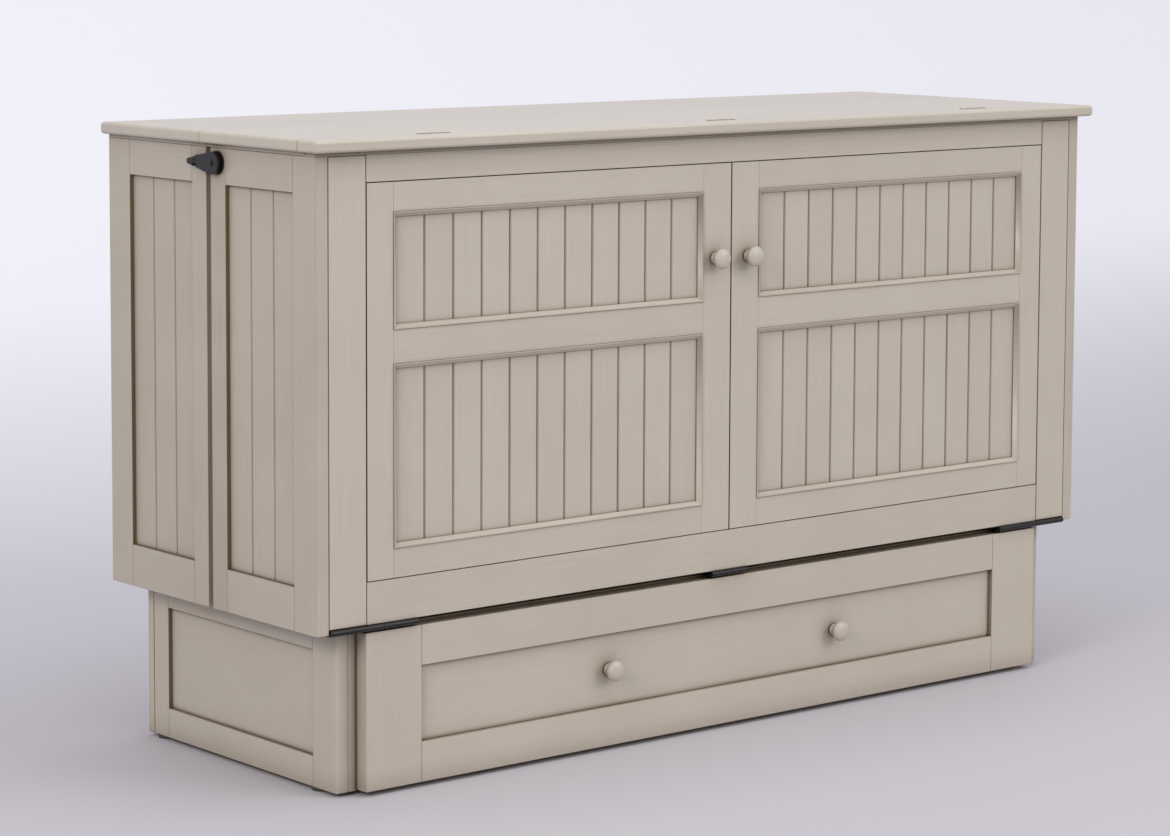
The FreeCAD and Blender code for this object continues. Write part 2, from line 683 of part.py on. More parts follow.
runner_front = base_front + base_wall
runner_length = base_back_front - runner_rear_gap - runner_front
runner_x = -drawer_half                       # outer face of the left runner
r0 = runner_bottom
r1 = runner_bottom + runner_height
nest = runner_sheet + runner_play
web_mid = runner_x + runner_width / 2
mid0 = web_mid - runner_sheet / 2
mid1 = web_mid + runner_sheet / 2
runner_outer = runner_x + runner_width
middle_back = runner_front + runner_length - runner_step
keep_both("runner_fixed_channels",
          channel(runner_x, runner_x + runner_sheet, mid0 - runner_play, r0, r1,
                  runner_front, runner_front + runner_length))
middle = channel(mid0, mid1, runner_x + nest, r0 + nest, r1 - nest, runner_front, middle_back)
middle_lips = channel(mid0, mid1, runner_outer - nest, r0 + nest, r1 - nest, runner_front, middle_back)
keep_both("runner_middle_channels", middle.fuse(middle_lips).removeSplitter())
keep_both("runner_drawer_channels",
          channel(runner_outer - runner_sheet, runner_outer, mid1 + runner_play,
                  r0 + 2 * nest, r1 - 2 * nest, runner_front, middle_back - runner_step))
keep_both("runner_packers", block(inner, runner_x, runner_front, base_back_front,
                                 r0 - packer_margin, r1 + packer_margin))

# ---- front hinges in the gap between the drawer front and the folding half ----------
hinge_spans = [(-half_width + side_hinge_inset, side_hinge_length),
               (-middle_hinge_length / 2, middle_hinge_length),
               (half_width - side_hinge_inset - side_hinge_length, side_hinge_length)]


def front_hinges():
    """Leaf on the base, leaf under the front's bottom rail, and the pin through both."""
    lower = []
    upper = []
    pins = []
    z = hinge_axis_height
    r = hinge_knuckle_radius
    for x0, length in hinge_spans:
        x1 = x0 + length
        barrel = knuckle_row(x0, length, 0.0, z, r, 0)
        other = knuckle_row(x0, length, 0.0, z, r, 1)
        bore = rod_x(x0 - 1, x1 + 1, 0.0, z, hinge_pin_radius + pin_play)
        around = lambda rows: [rod_x(k.BoundBox.XMin - knuckle_gap, k.BoundBox.XMax + knuckle_gap,
                                     0.0, z, r + edge_gap) for k in rows]
        low_leaf = block(x0, x1, 0.0, hinge_rear_leaf, base_top, base_top + hinge_leaf)
        high_leaf = block(x0, x1, 0.0, hinge_front_leaf, face_bottom - hinge_leaf, face_bottom)
        lower.append(low_leaf.fuse(barrel).cut(around(other) + [bore]).removeSplitter())
        upper.append(high_leaf.fuse(other).cut(around(barrel) + [bore]).removeSplitter())
        pins.append(rod_x(x0, x1, 0.0, z, hinge_pin_radius))
    return lower, upper, pins


lower, upper, pins = front_hinges()
keep("front_hinge_lower", *lower)
keep("front_hinge_upper", *upper)
keep("front_hinge_pins", *pins)


# ---- side latches -------------------------------------------------------------------
def latch():
    """A plate and boss on the folding wall, a tapered hook, and a stud on the standing wall."""
    wall = -half_width
    at = (latch_depth, latch_height)
    boss_face = wall - latch_plate - latch_boss
    plate = rod_x(wall - latch_plate, wall, *at, latch_base_radius)
    boss = rod_x(boss_face, wall, *at, latch_boss_radius)
    pin_end = wall - latch_plate / 2
    bore = rod_x(boss_face, pin_end, *at, latch_pin_radius + pin_play)
    base = plate.fuse(boss).cut(bore).removeSplitter()
    x1 = boss_face - edge_gap
    x0 = x1 - latch_lever
    tip = latch_depth + latch_reach
    slope = (latch_head_radius - latch_tip_radius) / latch_reach
    cosine = math.sqrt(1 - slope * slope)
    outline = []
    for centre, radius, side in ((latch_depth, latch_head_radius, 1), (tip, latch_tip_radius, 1),
                                 (tip, latch_tip_radius, -1), (latch_depth, latch_head_radius, -1)):
        outline.append(vec(x0, centre + radius * slope, latch_height + side * radius * cosine))
    arm = prism(outline, FreeCAD.Vector(latch_lever, 0, 0))
    head = rod_x(x0, x1, *at, latch_head_radius)
    end = rod_x(x0, x1, tip, latch_height, latch_tip_radius)
    half_slot = keeper_stud_radius + keeper_slot_play
    slot = block(x0, x1, keeper_depth - half_slot, keeper_depth + half_slot,
                 latch_height - latch_head_radius, latch_height)
    slot = slot.fuse(rod_x(x0, x1, keeper_depth, latch_height, half_slot))
    pin = rod_x(x1, pin_end, *at, latch_pin_radius)
    lever = arm.fuse([head, end]).cut(slot).fuse(pin).removeSplitter()
    keeper = block(wall - latch_plate, wall, keeper_depth - keeper_half_width,
                   keeper_depth + keeper_half_width, latch_height - keeper_half_height,
                   latch_height + keeper_half_height)
    stud = rod_x(x0, wall, keeper_depth, latch_height, keeper_stud_radius)
    return base, lever, keeper.fuse(stud).removeSplitter()


base, lever, keeper = latch()
keep_both("latch_bases", base)
keep_pair("latch_lever", lever)
keep_both("latch_keepers", keeper)

for name, solids in nodes.items():
    shape = solids[0] if len(solids) == 1 else Part.makeCompound(solids)
    shape.exportStep("parts/" + name + ".step")
    print(name, len(shape.Solids), "solids", "valid" if shape.isValid() else "NOT VALID",
          round(shape.Volume / 1000), "cm3")
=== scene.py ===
"""Looks, light and camera for the painted cabinet bed. Metres, +Z up, the front faces -Y."""
import json
import math
import random

import bmesh
import bpy
from mathutils import Matrix, Vector


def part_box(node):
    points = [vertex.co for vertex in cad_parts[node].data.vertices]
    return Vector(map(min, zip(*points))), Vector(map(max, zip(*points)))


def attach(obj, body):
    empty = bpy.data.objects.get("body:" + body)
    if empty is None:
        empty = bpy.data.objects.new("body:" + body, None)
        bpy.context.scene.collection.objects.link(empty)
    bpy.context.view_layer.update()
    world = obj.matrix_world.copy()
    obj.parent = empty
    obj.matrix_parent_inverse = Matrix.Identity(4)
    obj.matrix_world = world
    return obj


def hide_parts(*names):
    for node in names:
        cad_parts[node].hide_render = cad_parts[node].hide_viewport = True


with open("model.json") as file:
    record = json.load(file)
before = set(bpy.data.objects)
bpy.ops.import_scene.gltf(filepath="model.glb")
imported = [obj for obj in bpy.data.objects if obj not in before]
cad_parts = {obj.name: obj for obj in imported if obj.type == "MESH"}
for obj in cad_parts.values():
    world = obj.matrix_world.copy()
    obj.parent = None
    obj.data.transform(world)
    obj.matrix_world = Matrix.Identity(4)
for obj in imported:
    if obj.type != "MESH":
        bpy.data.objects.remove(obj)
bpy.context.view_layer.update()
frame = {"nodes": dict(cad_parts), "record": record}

MM = 0.001
POINT_DECIMALS = 6           # of a metre, to which corners that are one point agree
SAME_POINT = 1e-6
NODES = frame["nodes"]
BODY_OF = {node: body for body, members in frame["record"]["behaviour"]["bodies"].items()
           for node in members}
SLOT_OF = {entry["node"]: entry["material_slot"] for entry in frame["record"]["subparts"]}

# ---- patterns in the finishes: sizes in millimetres ------------------------------------
BRUSH_WIDTH = 2.2            # one streak left by the brush
BRUSH_LENGTH = 120.0
BRUSH_RIDGE = 0.12
CLOUD = 150.0                # patches where the glaze was wiped more or less
PLY_VENEER = 1.5
PINE_RING = 7.0              # spacing of the growth rings, drawn a little coarse to show
VENEER_FIGURE = 16.0
RUNOUT_LENGTH = 260.0        # length over which pine and veneer grain changes
LATE_WOOD_RIDGE = 0.15
ENAMEL_PEEL = 0.9
ENAMEL_HANDLING = 12.0       # patches where hands have dulled the enamel
ZINC_SPANGLE = 5.0
PLASTIC_GRIT = 0.8
FINE_RELIEF = 0.05           # height of the enamel's peel and of the plastic's grit
PATTERN_SHIFTS = 50          # patterns start this many streaks apart at most, from solid to solid

# how much a finish changes from place to place
CREAM_SHARE = 0.2            # of cream in the paint, before the next two
CLOUD_TONE = 0.6             # what the patches add to it
BOARD_TONE = 0.14            # how far each board's own tone moves it, up or down
LATE_WOOD_RISE = 2.2         # power that makes each ring darken late and suddenly
DARK_PLY = 0.55              # how much of the dark colour a dark ply takes
FACE_ON = 0.5                # a sheet's face looks along its thin side more than this, its edge less

# ---- the brown glaze, and painted shade in its colour: amounts are shares of a full coat, sizes are millimetres ---
GLAZE_AND_SHADE_COLOUR = "#64523c"
# glaze in corners, together with painted shade where little light reaches
CORNER_GLAZE_AND_SHADE = 1.1
CORNER_REACH = 7.0           # how far it spreads out of a corner
# painted shade under overhangs, drawn in the glaze's colour
OVERHANG_SHADE = 0.75
OVERHANG_SHADE_REACH = 45.0         # how far the painted shade reaches under an overhang
GROOVE_GLAZE = 0.8
GROOVE_DEPTH = 2.4           # of the V grooves between boards
GROOVE_LIMIT = 1.05          # what lies deeper than this share of it is the panel's back
BOARD_FACE = 25.0            # a face larger than a square of this side is a board's
ARRIS_GLAZE = 0.3
JOINT_GLAZE = 0.9            # on arrises of pieces whose joint shows as a brown line
SIDE_WALL_SHADE = 0.14            # painted shade: the side walls darker than the front
PARTING_SIDE_SHADE = 0.24         # painted side shade, darker still on the folding wall's stile beside the parting line
PARTING_STILE = 60.0         # depth in which that stile lies
PARTING_REBATE = 30.0        # depth in which the standing side walls' rebate beside it lies
CLEANER = 0.3                # share left in that rebate, and on recess walls that face up or down
RECESS_GLAZE = {"front_side_frame": 0.85, "rear_side_frame": 0.85, "base_side_frame": 0.7,
                "drawer_front_frame": 0.35}

# ---- arrises, knobs and screws, in millimetres -------------------------------------------
EASE = {"painted_timber": 0.8, "painted_ply": 0.6, "bare_ply": 0.8, "bare_pine": 1.2}
DOOR_EASE = 0.35             # less, because the doors' joints hardly show
JOINT_EASE = 1.6             # more, for a joint that shows as a brown line
OPEN_JOINTED = ("front_posts", "base_back")
SHARP_ANGLE = math.radians(40)
FLAT_ANGLE = math.radians(0.5)
KNOB_STEPS = 40              # round a knob
HINGE_LENGTH = 60.0
HINGE_SCREW_STEP = 20.0
HINGE_SCREW_INSET = 6.5      # from the leaf's free edge
HINGE_SCREW = {"radius_mm": 2.6, "crown_mm": 0.12}
PIVOT_INSET = 17.5           # of a latch's pivot from its front and its upper end
PIVOT_SCREW = {"radius_mm": 5.5, "crown_mm": 1.3}

# ---- settings of nodes -------------------------------------------------------------------
MULTIPLY = {"operation": "MULTIPLY"}
MULTIPLY_ADD = {"operation": "MULTIPLY_ADD"}
LARGER = {"operation": "MAXIMUM"}
DOT_PRODUCT = {"operation": "DOT_PRODUCT"}
SUM_TO_1 = {"operation": "ADD", "use_clamp": True}
MULTIPLY_TO_1 = {"operation": "MULTIPLY", "use_clamp": True}
MULTIPLY_ADD_TO_1 = {"operation": "MULTIPLY_ADD", "use_clamp": True}
COLOUR = {"data_type": "RGBA"}   # a Mix of colours takes them at i6 and i7 and gives output 2


# ---- colour and nodes --------------------------------------------------------------------
def linear(hex_colour):
    """An sRGB hex colour as the linear values that a shader takes."""
    channels = [int(hex_colour[i:i + 2], 16) / 255 for i in (1, 3, 5)]
    return [c / 12.92 if c <= 0.04045 else ((c + 0.055) / 1.055) ** 2.4 for c in channels] + [1.0]


def add(tree, kind, output=None, settings=None, **links):
    """A node with its settings, and its inputs set to a value or linked. Gives an output, or the node.

    An input goes by its name, with _ for a space, or by its number as i0, i1 and so on."""
    made = tree.nodes.new("ShaderNode" + kind)
    for name, value in (settings or {}).items():
        setattr(made, name, value)
    for name, value in links.items():
        key = int(name[1:]) if name[0] == "i" and name[1:].isdigit() else name.replace("_", " ")
        if isinstance(value, bpy.types.NodeSocket):
            tree.links.new(value, made.inputs[key])
        else:
            made.inputs[key].default_value = value
    return made if output is None else made.outputs[output]


def start(name, **values):
    """An empty material with its shader, and values for the shader's own sockets."""
    material = bpy.data.materials.new(name)
    material.use_nodes = True
    tree = material.node_tree
    tree.nodes.clear()
    shader = add(tree, "BsdfPrincipled", **values)
    add(tree, "OutputMaterial", Surface=shader.outputs[0])
    return material, tree, shader


def feed(tree, shader, **sources):
    """Links outputs of other nodes to the shader's sockets of these names."""
    for name, source in sources.items():
        tree.links.new(source, shader.inputs[name.replace("_", " ")])


def grain_coordinates(tree, across_mm, along_mm):
    """Object coordinates in streak widths across the board and streak lengths along it."""
    place = add(tree, "TexCoord", "Object")
    grain = add(tree, "Attribute", "Vector", {"attribute_name": "grain"})
    shift = add(tree, "Attribute", "Vector", {"attribute_name": "shift"})
    fine = 1 / (across_mm * MM)
    coarse = 1 / (along_mm * MM)
    stretch = add(tree, "VectorMath", 0, MULTIPLY_ADD, i0=grain, i1=(coarse - fine,) * 3, i2=(fine,) * 3)
    return add(tree, "VectorMath", 0, MULTIPLY_ADD, i0=place, i1=stretch, i2=shift)


# ---- materials ---------------------------------------------------------------------------
def paint_with_glaze_and_shade(name, pale, cream, roughness, bristle):
    """Brushed satin cream paint under a brown glaze that was wiped off the faces and stayed in every
    joint, groove and corner, so that each board and moulding is drawn by a soft brown line. The same brown
    paints shade into corners, under overhangs and on the side walls."""
    material, tree, shader = start(name, Roughness=roughness, IOR=1.48)
    place = add(tree, "TexCoord", "Object")
    streaks = add(tree, "TexNoise", 0, Vector=grain_coordinates(tree, BRUSH_WIDTH, BRUSH_LENGTH),
                  Scale=1.0, Detail=3.0, Roughness=0.6)
    cloud = add(tree, "TexNoise", 0, Vector=place, Scale=1 / (CLOUD * MM), Detail=2.0)
    tone = add(tree, "Attribute", "Fac", {"attribute_name": "tone"})
    board = add(tree, "Math", 0, MULTIPLY_ADD, i0=tone, i1=BOARD_TONE, i2=CREAM_SHARE)
    ground = add(tree, "Math", 0, MULTIPLY_ADD_TO_1, i0=cloud, i1=CLOUD_TONE, i2=board)
    paint = add(tree, "Mix", 2, COLOUR, i0=ground, i6=linear(pale), i7=linear(cream))
    # glaze in grooves and on marked faces, and glaze with painted shade in corners, uneven because it was
    # wiped by hand
    open_near = add(tree, "AmbientOcclusion", "AO", {"samples": 6}, Distance=CORNER_REACH * MM)
    corner_glaze_and_shade = add(tree, "Math", 0, MULTIPLY_ADD, i0=open_near, i1=-CORNER_GLAZE_AND_SHADE, i2=CORNER_GLAZE_AND_SHADE)
    groove = add(tree, "Attribute", "Fac", {"attribute_name": "groove"})
    in_groove = add(tree, "Math", 0, MULTIPLY, i0=groove, i1=GROOVE_GLAZE)
    marked_glaze_and_wall_shade = add(tree, "Attribute", "Fac", {"attribute_name": "glaze_and_shade"})
    glaze_and_corner_shade = add(tree, "Math", 0, LARGER, i0=corner_glaze_and_shade, i1=in_groove)
    held_glaze_and_shade = add(tree, "Math", 0, LARGER, i0=glaze_and_corner_shade, i1=marked_glaze_and_wall_shade)
    uneven = add(tree, "MapRange", 0, Value=cloud, From_Min=0.3, From_Max=0.7, To_Min=0.8, To_Max=1.1)
    # and a thinner coat of it in the brush marks, and painted shade under overhangs
    open_far = add(tree, "AmbientOcclusion", "AO", {"samples": 5}, Distance=OVERHANG_SHADE_REACH * MM)
    painted_overhang_shade = add(tree, "Math", 0, MULTIPLY_ADD, i0=open_far, i1=-OVERHANG_SHADE, i2=OVERHANG_SHADE)
    brushed = add(tree, "MapRange", 0, Value=streaks, From_Min=0.35, From_Max=0.8, To_Min=0.0,
                  To_Max=bristle)
    brush_glaze_and_overhang_shade = add(tree, "Math", 0, SUM_TO_1, i0=brushed, i1=painted_overhang_shade)
    glaze_and_painted_shade = add(tree, "Math", 0, MULTIPLY_ADD_TO_1, i0=held_glaze_and_shade, i1=uneven, i2=brush_glaze_and_overhang_shade)
    # the paint under the brown glaze and the painted shade
    colour = add(tree, "Mix", 2, COLOUR, i0=glaze_and_painted_shade, i6=paint, i7=linear(GLAZE_AND_SHADE_COLOUR))
    bump = add(tree, "Bump", 0, Height=streaks, Strength=0.2, Distance=BRUSH_RIDGE * MM)
    feed(tree, shader, Base_Color=colour, Normal=bump)
    return material


def ply_stripes(tree):
    """Where a sheet's edge shows a dark ply: every second veneer through its thickness."""
    where = add(tree, "TexCoord")
    thin = add(tree, "Attribute", "Vector", {"attribute_name": "thin"})
    height = add(tree, "VectorMath", 1, DOT_PRODUCT, i0=where.outputs["Object"], i1=thin)
    phase = add(tree, "Math", 0, MULTIPLY, i0=height, i1=math.pi / (PLY_VENEER * MM))
    wave = add(tree, "Math", 0, {"operation": "SINE"}, i0=phase)
    dark_ply = add(tree, "Math", 0, {"operation": "GREATER_THAN"}, i0=wave, i1=0.0)
    facing = add(tree, "VectorMath", 1, DOT_PRODUCT, i0=where.outputs["Normal"], i1=thin)
    along_thin = add(tree, "Math", 0, {"operation": "ABSOLUTE"}, i0=facing)
    on_edge = add(tree, "Math", 0, {"operation": "LESS_THAN"}, i0=along_thin, i1=FACE_ON)
    striped = add(tree, "Math", 0, MULTIPLY, i0=dark_ply, i1=on_edge)
    return add(tree, "Math", 0, MULTIPLY, i0=striped, i1=DARK_PLY)


def sealed_wood(name, early, late, ring, figure, roughness, veneers):
    """Clear-sealed softwood or birch veneer: amber rings drawn out along the grain, and on plywood's
    edges its stripes of dark and pale plies."""
    material, tree, shader = start(name, Roughness=roughness)
    place = grain_coordinates(tree, ring, RUNOUT_LENGTH)
    warp = add(tree, "TexNoise", 0, Vector=place, Scale=0.35, Detail=2.0)
    bands = add(tree, "TexNoise", 0, Vector=place, Scale=1.0, Detail=4.0, Roughness=0.55, Distortion=0.4)
    rings = add(tree, "Math", 0, MULTIPLY, i0=warp, i1=figure)
    across_ring = add(tree, "Math", 0, {"operation": "FRACT"}, i0=rings)
    steep = add(tree, "Math", 0, {"operation": "POWER"}, i0=across_ring, i1=LATE_WOOD_RISE)
    late_share = add(tree, "Math", 0, MULTIPLY_TO_1, i0=steep, i1=bands)
    colour = add(tree, "Mix", 2, COLOUR, i0=late_share, i6=linear(early), i7=linear(late))
    if veneers:
        colour = add(tree, "Mix", 2, COLOUR, i0=ply_stripes(tree), i6=colour, i7=linear("#8a6440"))
    bump = add(tree, "Bump", 0, Height=late_share, Strength=0.2, Distance=LATE_WOOD_RIDGE * MM)
    feed(tree, shader, Base_Color=colour, Normal=bump)
    return material


def black_enamel():
    """Stoved black enamel on pressed steel: a deep gloss with a faint orange peel, dulled by hands."""
    material, tree, shader = start("stoved_black_enamel", IOR=1.36)
    place = add(tree, "TexCoord", "Object")
    peel = add(tree, "TexNoise", 0, Vector=place, Scale=1 / (ENAMEL_PEEL * MM), Detail=1.0)
    worn = add(tree, "TexNoise", 0, Vector=place, Scale=1 / (ENAMEL_HANDLING * MM), Detail=3.0)
    colour = add(tree, "Mix", 2, COLOUR, i0=worn, i6=linear("#0c0c0e"), i7=linear("#1e1d20"))
    rough = add(tree, "MapRange", 0, Value=worn, To_Min=0.2, To_Max=0.42)
    bump = add(tree, "Bump", 0, Height=peel, Strength=0.15, Distance=FINE_RELIEF * MM)
    feed(tree, shader, Base_Color=colour, Roughness=rough, Normal=bump)
    return material


def zinc_plate():
    """Bright zinc plating on rolled steel: a cool grey metal whose spangles catch light unevenly."""
    material, tree, shader = start("zinc_plated_steel", Metallic=1.0)
    place = add(tree, "TexCoord", "Object")
    spangle = add(tree, "TexVoronoi", "Color", Vector=place, Scale=1 / (ZINC_SPANGLE * MM))
    share = add(tree, "SeparateColor", 0, Color=spangle)
    colour = add(tree, "Mix", 2, COLOUR, i0=share, i6=linear("#a8abae"), i7=linear("#c2c4c6"))
    rough = add(tree, "MapRange", 0, Value=share, To_Min=0.28, To_Max=0.42)
    feed(tree, shader, Base_Color=colour, Roughness=rough)
    return material


def moulded_plastic():
    """Dark moulded polyethylene: a dull, slightly waxy grey with a fine spark-eroded grain."""
    material, tree, shader = start("moulded_polyethylene", Roughness=0.55)
    place = add(tree, "TexCoord", "Object")
    grit = add(tree, "TexNoise", 0, Vector=place, Scale=1 / (PLASTIC_GRIT * MM), Detail=2.0)
    colour = add(tree, "Mix", 2, COLOUR, i0=grit, i6=linear("#2e2e30"), i7=linear("#3b3b3d"))
    bump = add(tree, "Bump", 0, Height=grit, Strength=0.3, Distance=FINE_RELIEF * MM)
    feed(tree, shader, Base_Color=colour, Normal=bump)
    return material


PAINT = paint_with_glaze_and_shade("glazed_cream_paint_and_shade", "#b7b0a5", "#aba397", roughness=0.36, bristle=0.1)
FINISH = {
    "painted_timber": PAINT,
    "painted_ply": paint_with_glaze_and_shade("plain_cream_paint_and_shade", "#b6aea3", "#ada598", roughness=0.5, bristle=0.05),
    "bare_ply": sealed_wood("sealed_birch_plywood", "#d9bd90", "#b98f5e", VENEER_FIGURE, figure=5.0,
                            roughness=0.45, veneers=True),
    "bare_pine": sealed_wood("planed_pine", "#dcbd8a", "#b98a52", PINE_RING, figure=7.0,
                             roughness=0.5, veneers=False),
    "black_iron": black_enamel(),
    "zinc_steel": zinc_plate(),
    "painted_steel": PAINT,
    "grey_plastic": moulded_plastic(),
}


# ---- objects and pieces ------------------------------------------------------------------
def linked_object(name, data):
    """An object of this data, in the scene."""
    made = bpy.data.objects.new(name, data)
    bpy.context.scene.collection.objects.link(made)
    return made


def mesh_object(bm, name, material):
    """A smooth-shaded object of a bmesh, in one material."""
    mesh = bpy.data.meshes.new(name)
    bm.to_mesh(mesh)
    bm.free()
    for polygon in mesh.polygons:
        polygon.use_smooth = True
    mesh.materials.append(material)
    return linked_object(name, mesh)


def finish_piece(bm, name, body, slot, stands_for=()):
    """A mesh as a finished piece of the object: sharp where it turns, in its slot's material."""
    piece = mesh_object(bm, name, FINISH[slot])
    piece.data.set_sharp_from_angle(angle=SHARP_ANGLE)
    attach(piece, body)
    if stands_for:
        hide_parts(*stands_for)
    return piece


def shade_flat_faces_flat(piece):
    """Keeps the light even on flat faces beside their eased arrises."""
    flat = piece.modifiers.new("flat faces shade flat", "WEIGHTED_NORMAL")
    flat.keep_sharp = True


def along(index):
    """The direction of an axis."""
    return Vector([1.0 if i == index else 0.0 for i in range(3)])


def each_once(elements):
    """Elements of a mesh without repeats, in their order. A set's order would differ from run to run."""
    return list(dict.fromkeys(elements))


# ---- the CAD's pieces, dressed -----------------------------------------------------------
# The plane of each boarded panel's face: its axis and its place.
BOARDED = {"door_boards": (1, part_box("door_boards")[0].y)}
for node_name in ("front_side_boards", "rear_side_boards"):
    BOARDED[node_name] = (0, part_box(node_name)[1].x)


def closed_shells(bm):
    """The faces of each solid in a mesh of loose triangles, which come one solid after another."""
    shells, faces, waiting = [], [], set()
    for face in bm.faces:
        corners = [tuple(round(c, POINT_DECIMALS) for c in v.co) for v in face.verts]
        faces.append(face)
        for edge in zip(corners, corners[1:] + corners[:1]):
            if edge[::-1] in waiting:
                waiting.remove(edge[::-1])
            else:
                waiting.add(edge)
        if not waiting:
            shells.append(faces)
            faces = []
    return shells + ([faces] if faces else [])


def mark_solids(bm, node, rng):
    """Gives each solid its grain, its thin direction, its own pattern and tone, and on the side walls
    painted shade on its faces, and joins its triangles."""
    vectors, numbers = bm.faces.layers.float_vector, bm.faces.layers.float
    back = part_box(node)[1].y
    side_wall = node.startswith(("front_side", "rear_side"))
    for faces in closed_shells(bm):
        corners = [v.co for f in faces for v in f.verts]
        size = [max(c[i] for c in corners) - min(c[i] for c in corners) for i in range(3)]
        at_parting = node.startswith("front") and min(c.y for c in corners) > back - PARTING_STILE * MM
        # painted shade on the side walls' faces, darker still on the stile beside the parting line
        left_on = PARTING_SIDE_SHADE if at_parting else SIDE_WALL_SHADE
        marks = ((vectors["grain"], along(2 if node in BOARDED else size.index(max(size)))),
                 (vectors["thin"], along(size.index(min(size)))),
                 (vectors["shift"], Vector([rng.uniform(0, PATTERN_SHIFTS) for _ in range(3)])),
                 (numbers["tone"], rng.uniform(-1, 1)),
                 (numbers["glaze_and_shade"], left_on if side_wall else 0.0))
        for f in faces:
            for layer, value in marks:
                f[layer] = value
        bmesh.ops.remove_doubles(bm, verts=each_once(v for f in faces for v in f.verts), dist=SAME_POINT)


def mark_boards(bm, axis, face, rng):
    """Marks the V grooves by their depth behind a boarded face, and gives each board its own tone."""
    groove = bm.verts.layers.float["groove"]
    tone = bm.faces.layers.float["tone"]
    for v in bm.verts:
        behind = face - abs(v.co.x) if axis == 0 else v.co.y - face
        depth = behind / (GROOVE_DEPTH * MM)
        v[groove] = depth if depth < GROOVE_LIMIT else 0.0
    for f in bm.faces:
        if f.calc_area() > (BOARD_FACE * MM) ** 2:
            f[tone] = rng.uniform(-1, 1)


def mark_recess(bm, low, high, left_on):
    """Leaves glaze on the walls round a frame's openings, and less of it where they were cleaner."""
    glaze_and_shade = bm.faces.layers.float["glaze_and_shade"]
    flat = min(range(3), key=lambda i: high[i] - low[i])
    for f in bm.faces:
        facing = max(range(3), key=lambda i: abs(f.normal[i]))
        middle = f.calc_center_median()[facing]
        if facing != flat and low[facing] + MM < middle < high[facing] - MM:
            in_rebate = facing == 1 and middle < low.y + PARTING_REBATE * MM
            f[glaze_and_shade] = left_on * (CLEANER if facing == 2 or in_rebate else 1.0)


def ease_arrises(bm, ease_mm, left_on):
    """Rounds the outer edges off, and leaves glaze on them."""
    glaze_and_shade = bm.faces.layers.float["glaze_and_shade"]
    sharp = [e for e in bm.edges if len(e.link_faces) == 2 and e.is_convex
             and e.calc_face_angle(0.0) > SHARP_ANGLE]
    eased = bmesh.ops.bevel(bm, geom=sharp, offset=ease_mm * MM, offset_type="OFFSET", segments=2,
                            profile=0.5, affect="EDGES", material=-1, clamp_overlap=True)
    for f in eased["faces"]:
        f[glaze_and_shade] = left_on


def dress(node, ease_mm, arris_glaze=ARRIS_GLAZE):
    """A copy of a CAD piece with its boards' grain, tone, glaze and painted side shade marked and its
    arrises eased.
    """
    rng = random.Random(node)
    bm = bmesh.new()
    bm.from_mesh(NODES[node].data)
    for name in ("grain", "thin", "shift"):
        bm.faces.layers.float_vector.new(name)
    for name in ("tone", "glaze_and_shade"):
        bm.faces.layers.float.new(name)
    bm.verts.layers.float.new("groove")
    mark_solids(bm, node, rng)
    bmesh.ops.dissolve_limit(bm, angle_limit=FLAT_ANGLE, verts=bm.verts, edges=bm.edges)
    if node in BOARDED:
        mark_boards(bm, *BOARDED[node], rng)
    for frame_name, left_on in RECESS_GLAZE.items():
        if node.startswith(frame_name):
            mark_recess(bm, *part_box(node), left_on)
    ease_arrises(bm, ease_mm, arris_glaze)
    shade_flat_faces_flat(finish_piece(bm, node + "_dressed", BODY_OF[node], SLOT_OF[node], [node]))


# ---- knobs and screws --------------------------------------------------------------------
# A knob's outline: shares of its radius and of its length from the face.
KNOB_OUTLINE = ((0.0, 0.0), (0.59, 0.0), (0.59, 0.09), (0.53, 0.13), (0.44, 0.2), (0.41, 0.28),
                (0.43, 0.37), (0.56, 0.46), (0.81, 0.54), (0.96, 0.62), (1.0, 0.7), (0.97, 0.79),
                (0.86, 0.88), (0.66, 0.95), (0.36, 0.99), (0.0, 1.0))


def turned_knobs(node):
    """The two knobs of a node, each an outline spun about its axis and smoothed."""
    low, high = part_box(node)
    radius = (high.z - low.z) / 2
    length = high.y - low.y
    bm = bmesh.new()
    grain = bm.faces.layers.float_vector.new("grain")
    for x in (low.x + radius, high.x - radius):
        foot = Vector((x, high.y, low.z + radius))
        line = [bm.verts.new(foot + Vector((r * radius, -out * length, 0.0))) for r, out in KNOB_OUTLINE]
        edges = [bm.edges.new(pair) for pair in zip(line, line[1:])]
        bmesh.ops.spin(bm, geom=line + edges, cent=foot, axis=(0, 1, 0), angle=2 * math.pi,
                       steps=KNOB_STEPS, use_merge=True)
        bmesh.ops.remove_doubles(bm, verts=bm.verts, dist=SAME_POINT)
    bmesh.ops.recalc_face_normals(bm, faces=bm.faces)
    for f in bm.faces:
        f[grain] = along(1)
    piece = finish_piece(bm, node + "_turned", BODY_OF[node], SLOT_OF[node], [node])
    smooth = piece.modifiers.new("smooth", "SUBSURF")
    smooth.levels = smooth.render_levels = 1


# A screw head's rings, from its rim to the bottom of its socket: how many corners, the share of its
# radius, and the height as a share of its crown.
SCREW_RINGS = ((24, 1.0, -0.2), (24, 1.0, 0.3), (24, 0.8, 0.8), (24, 0.55, 1.0), (6, 0.38, 1.0),
               (6, 0.38, -0.1))


